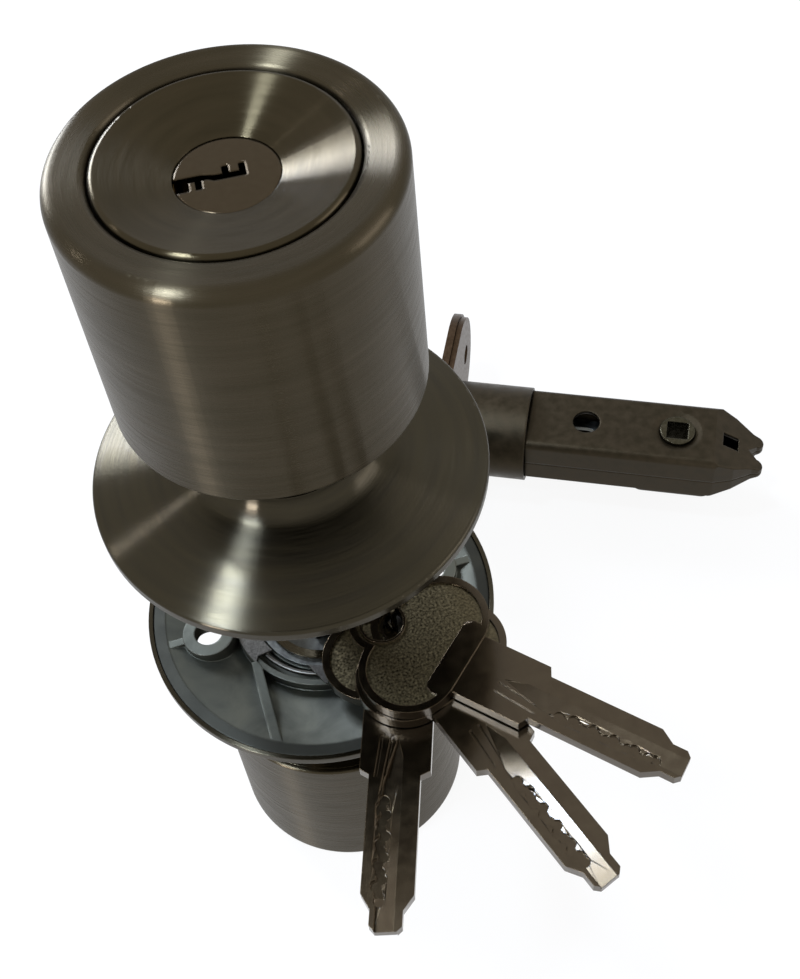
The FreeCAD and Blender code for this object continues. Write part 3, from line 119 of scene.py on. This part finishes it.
def brush_lines(tree, spacing, sweep):
    """Fine lines round the knob axis, as a turning lathe and a belt leave them. Spacing is from
    line to line, and a sweep of 1 breaks a line about six times round the circle."""
    height, offset, distance = knob_axis(tree)
    facing = add(tree, "ShaderNodeVectorMath", {0: offset}, operation="NORMALIZE")
    around = add(tree, "ShaderNodeVectorMath", {0: facing.outputs[0], 3: sweep},
                 operation="SCALE")
    outward = add(tree, "ShaderNodeMath", {0: distance, 1: 1 / spacing}, operation="MULTIPLY")
    upward = add(tree, "ShaderNodeMath", {0: height, 1: 1 / spacing}, operation="MULTIPLY")
    lift = add(tree, "ShaderNodeCombineXYZ", {2: outward.outputs[0]})
    vector = add(tree, "ShaderNodeVectorMath", {0: around.outputs[0], 1: lift.outputs[0]})
    noise = add(tree, "ShaderNodeTexNoise", {
        "Vector": vector.outputs[0], "W": upward.outputs[0], "Scale": 1.0, "Detail": 3.0},
        noise_dimensions="4D")
    return noise.outputs["Fac"]


# ---- Materials ----

# Real brush lines lie under 0.1 mm apart and wouldn't show, so they are drawn this coarse.
LINE_SPACING = 0.32 * MM
LINE_SWEEP = 3.0
# Broader bands of tone come from one stroke of the belt or the tool to the next.
BAND_SPACING = 1.4 * MM
BAND_SWEEP = 1.2


def brushed_stainless(name, dark, pale, smooth, rough, depth, fall):
    """Stainless steel sheet, spun and brushed round its axis: dull lines that fan the light out.
    Depth is how deep the lines are in mm, and fall the slope at which end faces seem to sink
    to the axis."""
    material = new_material(name)
    tree = material.node_tree
    edge_radius = 0.2 * MM
    _, _, distance = knob_axis(tree)
    lines = brush_lines(tree, LINE_SPACING, LINE_SWEEP)
    bands = brush_lines(tree, BAND_SPACING, BAND_SWEEP)
    tone = add(tree, "ShaderNodeMapRange", {"Value": bands, **NOISE_RANGE})
    colour = add(tree, "ShaderNodeMix", {
        0: tone.outputs["Result"], 6: linear(dark), 7: linear(pale)}, data_type="RGBA")
    roughness = add(tree, "ShaderNodeMapRange", {
        "Value": lines, **NOISE_RANGE, "To Min": smooth, "To Max": rough})
    edge = add(tree, "ShaderNodeBevel", {"Radius": edge_radius}, samples=EDGE_SAMPLES)
    sunk = add(tree, "ShaderNodeBump", {
        "Height": distance, "Strength": 1.0, "Distance": fall, "Normal": edge.outputs["Normal"]})
    bump = add(tree, "ShaderNodeBump", {
        "Height": lines, "Strength": BUMP_STRENGTH, "Distance": depth * MM,
        "Normal": sunk.outputs["Normal"]})
    tangent = add(tree, "ShaderNodeTangent", direction_type="RADIAL", axis="Z")
    finish_metal(material, colour.outputs[2], roughness.outputs["Result"],
                 bump.outputs["Normal"],
                 **{"Anisotropic": 1.0, "Anisotropic Rotation": 0.25,
                    "Tangent": tangent.outputs[0]})
    return material


def satin_plug():
    """Nickel-plated brass plug face, lapped flat: a silky, nearly even gloss, and a thin bright
    line where its edges are broken."""
    material = new_material("satin nickel plug")
    tree = material.node_tree
    grain_size = 0.9 * MM
    edge_radius = 0.45 * MM
    place = add(tree, "ShaderNodeTexCoord").outputs["Object"]
    grain = add(tree, "ShaderNodeTexNoise", {
        "Vector": place, "Scale": 1 / grain_size, "Detail": 3.0}).outputs["Fac"]
    colour = add(tree, "ShaderNodeMix", {
        0: grain, 6: linear("#3f3629"), 7: linear("#443b2d")}, data_type="RGBA")
    roughness = add(tree, "ShaderNodeMapRange", {
        "Value": grain, **NOISE_RANGE, "To Min": 0.13, "To Max": 0.17})
    edge = add(tree, "ShaderNodeBevel", {"Radius": edge_radius}, samples=EDGE_SAMPLES)
    finish_metal(material, colour.outputs[2], roughness.outputs["Result"],
                 edge.outputs["Normal"])
    return material


def cast_zinc():
    """Die-cast zinc: grey, dull, clouded by flow marks, soft at its edges, and darkened towards
    its rim by painted shade.
    """
    material = new_material("die-cast zinc")
    tree = material.node_tree
    flow_mark_size = 7 * MM
    grit_size = 0.5 * MM
    grit_depth = 0.02 * MM
    edge_radius = 0.35 * MM
    # Painted shade: from here out to the plate's rim, the colour is mixed towards a near-black
    # brown.
    rim_shade_start = plate_radius - 2.2 * MM
    rim_shade_full = plate_radius - 1.7 * MM
    rim_shade_share = 0.75
    place = add(tree, "ShaderNodeTexCoord").outputs["Object"]
    _, _, distance = knob_axis(tree)
    clouds = add(tree, "ShaderNodeTexNoise", {
        "Vector": place, "Scale": 1 / flow_mark_size, "Detail": 6.0,
        "Distortion": 0.6}).outputs["Fac"]
    grit = add(tree, "ShaderNodeTexNoise", {
        "Vector": place, "Scale": 1 / grit_size, "Detail": 4.0}).outputs["Fac"]
    edge = add(tree, "ShaderNodeBevel", {"Radius": edge_radius}, samples=EDGE_SAMPLES)
    bump = add(tree, "ShaderNodeBump", {
        "Height": grit, "Strength": BUMP_STRENGTH, "Distance": grit_depth,
        "Normal": edge.outputs["Normal"]})
    tone = add(tree, "ShaderNodeMapRange", {"Value": clouds, **NOISE_RANGE})
    cast = add(tree, "ShaderNodeMix", {
        0: tone.outputs["Result"], 6: linear("#3f403a"), 7: linear("#5e5f56")},
        data_type="RGBA")
    # Painted shade: the share of the dark brown rises with the distance from the axis, near the
    # plate's rim.
    rim_shade = add(tree, "ShaderNodeMapRange", {
        "Value": distance, "From Min": rim_shade_start, "From Max": rim_shade_full,
        "To Max": rim_shade_share})
    colour = add(tree, "ShaderNodeMix", {
        0: rim_shade.outputs["Result"], 6: cast.outputs[2], 7: linear("#24231f")},
        data_type="RGBA")
    roughness = add(tree, "ShaderNodeMapRange", {
        "Value": clouds, **NOISE_RANGE, "To Min": 0.60, "To Max": 0.40})
    finish_metal(material, colour.outputs[2], roughness.outputs["Result"],
                 bump.outputs["Normal"])
    return material


def plain_metal(name, dark, pale, smooth, rough, grain, depth, edge, **more):
    """A metal with an even grain, plated, drawn, turned or blasted, whose sharp edges are broken.
    Grain is the size of its grain in mm, depth how deep it is, and edge how round its edges."""
    material = new_material(name)
    tree = material.node_tree
    place = add(tree, "ShaderNodeTexCoord").outputs["Object"]
    noise = add(tree, "ShaderNodeTexNoise", {
        "Vector": place, "Scale": 1 / (grain * MM), "Detail": 4.0}).outputs["Fac"]
    broken = add(tree, "ShaderNodeBevel", {"Radius": edge * MM}, samples=EDGE_SAMPLES)
    bump = add(tree, "ShaderNodeBump", {
        "Height": noise, "Strength": BUMP_STRENGTH, "Distance": depth * MM,
        "Normal": broken.outputs["Normal"]})
    tone = add(tree, "ShaderNodeMapRange", {"Value": noise, **NOISE_RANGE})
    colour = add(tree, "ShaderNodeMix", {
        0: tone.outputs["Result"], 6: linear(dark), 7: linear(pale)}, data_type="RGBA")
    roughness = add(tree, "ShaderNodeMapRange", {
        "Value": noise, **NOISE_RANGE, "To Min": smooth, "To Max": rough})
    finish_metal(material, colour.outputs[2], roughness.outputs["Result"],
                 bump.outputs["Normal"], **more)
    return material


# Brushed round with a belt: soft upright bars of light, broken by fine level lines. The fall
# shades the flat rim as if it were slightly dished.
drum_steel = brushed_stainless(
    "belt-brushed stainless drum", "#3a3427", "#413a2d",
    smooth=0.24, rough=0.30, depth=0.007, fall=0.28)

# Turned and polished on the lathe: a brown sheen with narrow fans of light from the middle.
face_steel = brushed_stainless(
    "spun stainless face", "#342e21", "#3b3426",
    smooth=0.17, rough=0.23, depth=0.009, fall=0.0)

# Spun and left coarse: rings that the eye can follow, and one broad pale fan.
rose_steel = brushed_stainless(
    "coarsely spun stainless rose", "#363229", "#3d382c",
    smooth=0.19, rough=0.27, depth=0.035, fall=0.0)

plug_nickel = satin_plug()
zinc = cast_zinc()

# Polished nickel, a warm and slightly hazy mirror. The coat is its clear white glint.
key_nickel = plain_metal(
    "nickel-plated key", "#42382a", "#483e2f", smooth=0.19, rough=0.25,
    grain=2.0, depth=0.001, edge=0.16, **{"Coat Weight": 0.32, "Coat Roughness": 0.12})

# Blasted, then plated: a speckled olive field inside the polished edge. Real grit is about
# 0.1 mm, too fine to show, so it is drawn coarser.
key_sand = plain_metal(
    "sand-blasted nickel field", "#433c2b", "#6f654c", smooth=0.28, rough=0.50,
    grain=0.36, depth=0.07, edge=0.05, **{"Coat Weight": 0.3, "Coat Roughness": 0.20})

# Drawn and plated wire: small bright glints along a warm grey.
wire_nickel = plain_metal(
    "nickel-plated wire", "#5c5546", "#666050", smooth=0.18, rough=0.30,
    grain=0.5, depth=0.002, edge=0.05)

# Turned brass: a dull yellow deep in the knobs.
brass = plain_metal(
    "turned brass", "#8d7446", "#a58a58", smooth=0.30, rough=0.45,
    grain=0.6, depth=0.004, edge=0.10)

# Pressed steel under dark plating: brown-black and dull, with soft light on its bends.
latch_steel = plain_metal(
    "dark plated latch steel", "#2f2a20", "#383126", smooth=0.36, rough=0.50,
    grain=1.8, depth=0.006, edge=0.5)

# The same plating, rubbed by the case and the spindle: a brighter ring in the dark case.
hub_steel = plain_metal(
    "worn hub steel", "#353226", "#454135", smooth=0.20, rough=0.32,
    grain=0.8, depth=0.006, edge=0.45)

# Satin-plated plate with a red-brown cast.
plate_steel = plain_metal(
    "satin faceplate steel", "#3a2d21", "#453729", smooth=0.32, rough=0.44,
    grain=0.7, depth=0.004, edge=0.15)

# Cast and plated bolt: an even grey with a soft gloss.
bolt_metal = plain_metal(
    "plated cast bolt", "#46423a", "#524d44", smooth=0.36, rough=0.48,
    grain=0.6, depth=0.005, edge=0.25)

# Drawn spring wire: cool grey, with a dull line of light on each turn.
spring_steel = plain_metal(
    "drawn spring wire", "#55534e", "#6b6862", smooth=0.30, rough=0.42,
    grain=0.3, depth=0.002, edge=0.05)

# Zinc-plated steel: a neutral grey, paler than all that is round it.
zinc_plate = plain_metal(
    "zinc-plated steel", "#5d5e5c", "#74756f", smooth=0.32, rough=0.46,
    grain=1.0, depth=0.004, edge=0.15)


# ---- Finishes of the CAD nodes ----

# The clips, the tailpieces, the spindle with its drivers, the posts and the drawbar aren't
# listed: they are zinc-plated.
FINISHES = {
    "knob_shell": drum_steel, "knob_base": drum_steel, "knob_face": face_steel,
    "plug": plug_nickel, "cylinder_body": brass, "wafers": brass, "lock_cam": brass,
    "cylinder_holder": zinc, "rose_plate": zinc, "rose_cover": rose_steel,
    "return_spring": spring_steel, "spring_cap": spring_steel,
    "key_a": key_nickel, "key_b": key_nickel, "key_c": key_nickel, "key_ring": wire_nickel,
    "latch_faceplate": plate_steel, "latch_backing": plate_steel, "latch_tube": latch_steel,
    "latch_case_upper": latch_steel, "latch_case_lower": latch_steel, "latch_hub": hub_steel,
    "latch_bolt": bolt_metal, "latch_bolt_spring": spring_steel,
    "latch_spring_stop": spring_steel,
}

for node_name, node in nodes.items():
    part_name = node_name.removeprefix("front_").removeprefix("rear_")
    node.data.materials.clear()
    node.data.materials.append(FINISHES.get(part_name, zinc_plate))


# ---- Keys ----

# How high the underside of each key lies, how thick a key is and how deep its fields are.
KEY_LEVELS = {"key_a": 0.2 * MM, "key_b": 2.6 * MM, "key_c": 5.0 * MM}
KEY_THICKNESS = 2.2 * MM
FIELD_DEPTH = 0.35 * MM
# A face is the floor of a field if it is this level and this near to the field's depth.
FLAT = 0.99
FLOOR_TOLERANCE = 0.03 * MM
# Corners of the CAD mesh this close are one, and edges flatter than this angle look smooth.
WELD_DISTANCE = 0.0005 * MM
SMOOTH_ANGLE = math.radians(8)


def stamped_key(name):
    """A key as it is struck and plated: the CAD shape, with its sunken fields sand-blasted."""
    piece = bpy.data.objects.new(name + "_struck", nodes[name].data.copy())
    bpy.context.scene.collection.objects.link(piece)
    bpy.ops.object.select_all(action="DESELECT")
    piece.select_set(True)
    bpy.context.view_layer.objects.active = piece
    bpy.ops.object.mode_set(mode="EDIT")
    bpy.ops.mesh.select_all(action="SELECT")
    bpy.ops.mesh.remove_doubles(threshold=WELD_DISTANCE)
    bpy.ops.object.mode_set(mode="OBJECT")
    bpy.ops.object.shade_smooth_by_angle(angle=SMOOTH_ANGLE)
    piece.data.materials.clear()
    piece.data.materials.append(key_nickel)
    piece.data.materials.append(key_sand)
    underside = KEY_LEVELS[name]
    floors = (underside + FIELD_DEPTH, underside + KEY_THICKNESS - FIELD_DEPTH)
    for face in piece.data.polygons:
        level = abs(face.normal.z) > FLAT
        miss = min(abs(face.center.z - floor) for floor in floors)
        face.material_index = 1 if level and miss < FLOOR_TOLERANCE else 0
    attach(piece, name + "_unit")
    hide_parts(name)


for key_name in KEY_LEVELS:
    stamped_key(key_name)


# ---- Table, light and camera ----

TABLE_SIZE = 4.0
# The share of the table's look that is plain white. The rest of it keeps the shadows.
TABLE_WHITE = 0.92
# How strongly the room lights the lock. The eye and the reflections see it as white.
ROOM_LIGHT = 0.45
LAMP_AIM = Vector((0.01, 0.0, 0.04))

# Each lamp's name, direction from the lock, distance and size in metres, power in watts and
# colour. The directions set where the fans of light lie on the turned faces.
LAMPS = (
    ("ceiling lamp", (-0.28, 0.185, 0.943), 0.75, 0.06, 2.2, "#d4e6ff"),
    ("high left lamp", (-0.49, -0.17, 0.85), 0.8, 0.14, 5.0, "#d4e6ff"),
    ("window", (-0.34, 0.82, 0.46), 0.8, 0.24, 7.5, "#dce8ff"),
    ("side lamp", (-0.55, 0.45, 0.70), 0.8, 0.03, 0.16, "#f0f0ff"),
    ("left front lamp", (-0.80, -0.58, 0.12), 0.8, 0.14, 3.6, "#f4f2ff"),
    ("right lamp", (0.80, -0.20, 0.50), 0.8, 0.40, 1.5, "#f0f0ff"),
)

# The lens in mm on a 36 mm sensor, the place in metres and the turns in degrees.
CAMERA_LENS = 53.37
CAMERA_SENSOR = 36.0
CAMERA_NEAREST = 0.01
CAMERA_PLACE = (-0.00899, -0.12634, 0.20386)
CAMERA_HEADING = -10.946
CAMERA_TILT = 35.63
CAMERA_ROLL = -6.78


def add_table():
    """A pale table top that shows as white and keeps the shadows."""
    bpy.ops.object.select_all(action="DESELECT")
    bpy.ops.mesh.primitive_plane_add(size=TABLE_SIZE, location=(0, 0, table_height))
    table = bpy.context.active_object
    table.name = "table_top"
    material = new_material("pale table top")
    tree = material.node_tree
    diffuse = add(tree, "ShaderNodeBsdfDiffuse", {"Color": linear("#eeeeec")})
    glow = add(tree, "ShaderNodeEmission", {"Color": linear("#ffffff"), "Strength": 1.0})
    path = add(tree, "ShaderNodeLightPath")
    seen = add(tree, "ShaderNodeMath", {
        0: path.outputs["Is Camera Ray"], 1: path.outputs["Is Glossy Ray"]}, operation="MAXIMUM")
    share = add(tree, "ShaderNodeMath", {0: seen.outputs[0], 1: TABLE_WHITE},
                operation="MULTIPLY")
    mixed = add(tree, "ShaderNodeMixShader", {
        0: share.outputs[0], 1: diffuse.outputs[0], 2: glow.outputs[0]})
    add(tree, "ShaderNodeOutputMaterial", {"Surface": mixed.outputs[0]})
    table.data.materials.append(material)


def light_world():
    """An even pale room that shows as white."""
    world = bpy.data.worlds.new("pale room")
    bpy.context.scene.world = world
    world.use_nodes = True
    tree = world.node_tree
    tree.nodes.clear()
    path = add(tree, "ShaderNodeLightPath")
    mirrored = add(tree, "ShaderNodeMath", {
        0: path.outputs["Is Camera Ray"], 1: path.outputs["Is Glossy Ray"]}, operation="MAXIMUM")
    seen = add(tree, "ShaderNodeMath", {
        0: mirrored.outputs[0], 1: path.outputs["Is Transmission Ray"]}, operation="MAXIMUM")
    strength = add(tree, "ShaderNodeMapRange", {
        "Value": seen.outputs[0], "To Min": ROOM_LIGHT, "To Max": 1.0})
    background = add(tree, "ShaderNodeBackground", {
        "Color": linear("#ffffff"), "Strength": strength.outputs["Result"]})
    add(tree, "ShaderNodeOutputWorld", {"Surface": background.outputs[0]})


def add_lamp(name, direction, distance, size, power, hex_colour):
    """A square soft lamp in one direction from the lock, turned to face it."""
    away = Vector(direction).normalized()
    data = bpy.data.lights.new(name, "AREA")
    data.size = size
    data.energy = power
    data.color = linear(hex_colour)[:3]
    lamp = bpy.data.objects.new(name, data)
    lamp.location = LAMP_AIM + away * distance
    lamp.rotation_euler = away.to_track_quat("Z", "Y").to_euler()
    bpy.context.scene.collection.objects.link(lamp)


def add_camera():
    """The photograph's view: close, in front of the lock and looking down on it."""
    data = bpy.data.cameras.new("camera")
    data.sensor_width = CAMERA_SENSOR
    data.lens = CAMERA_LENS
    data.clip_start = CAMERA_NEAREST
    camera = bpy.data.objects.new("camera", data)
    turn = (Matrix.Rotation(math.radians(CAMERA_HEADING), 4, "Z")
            @ Matrix.Rotation(math.radians(CAMERA_TILT), 4, "X")
            @ Matrix.Rotation(math.radians(CAMERA_ROLL), 4, "Z"))
    camera.matrix_world = Matrix.Translation(CAMERA_PLACE) @ turn
    bpy.context.scene.collection.objects.link(camera)
    bpy.context.scene.camera = camera


add_table()
light_world()
for lamp_facts in LAMPS:
    add_lamp(*lamp_facts)
add_camera()
bpy.context.scene.view_settings.view_transform = "Standard"
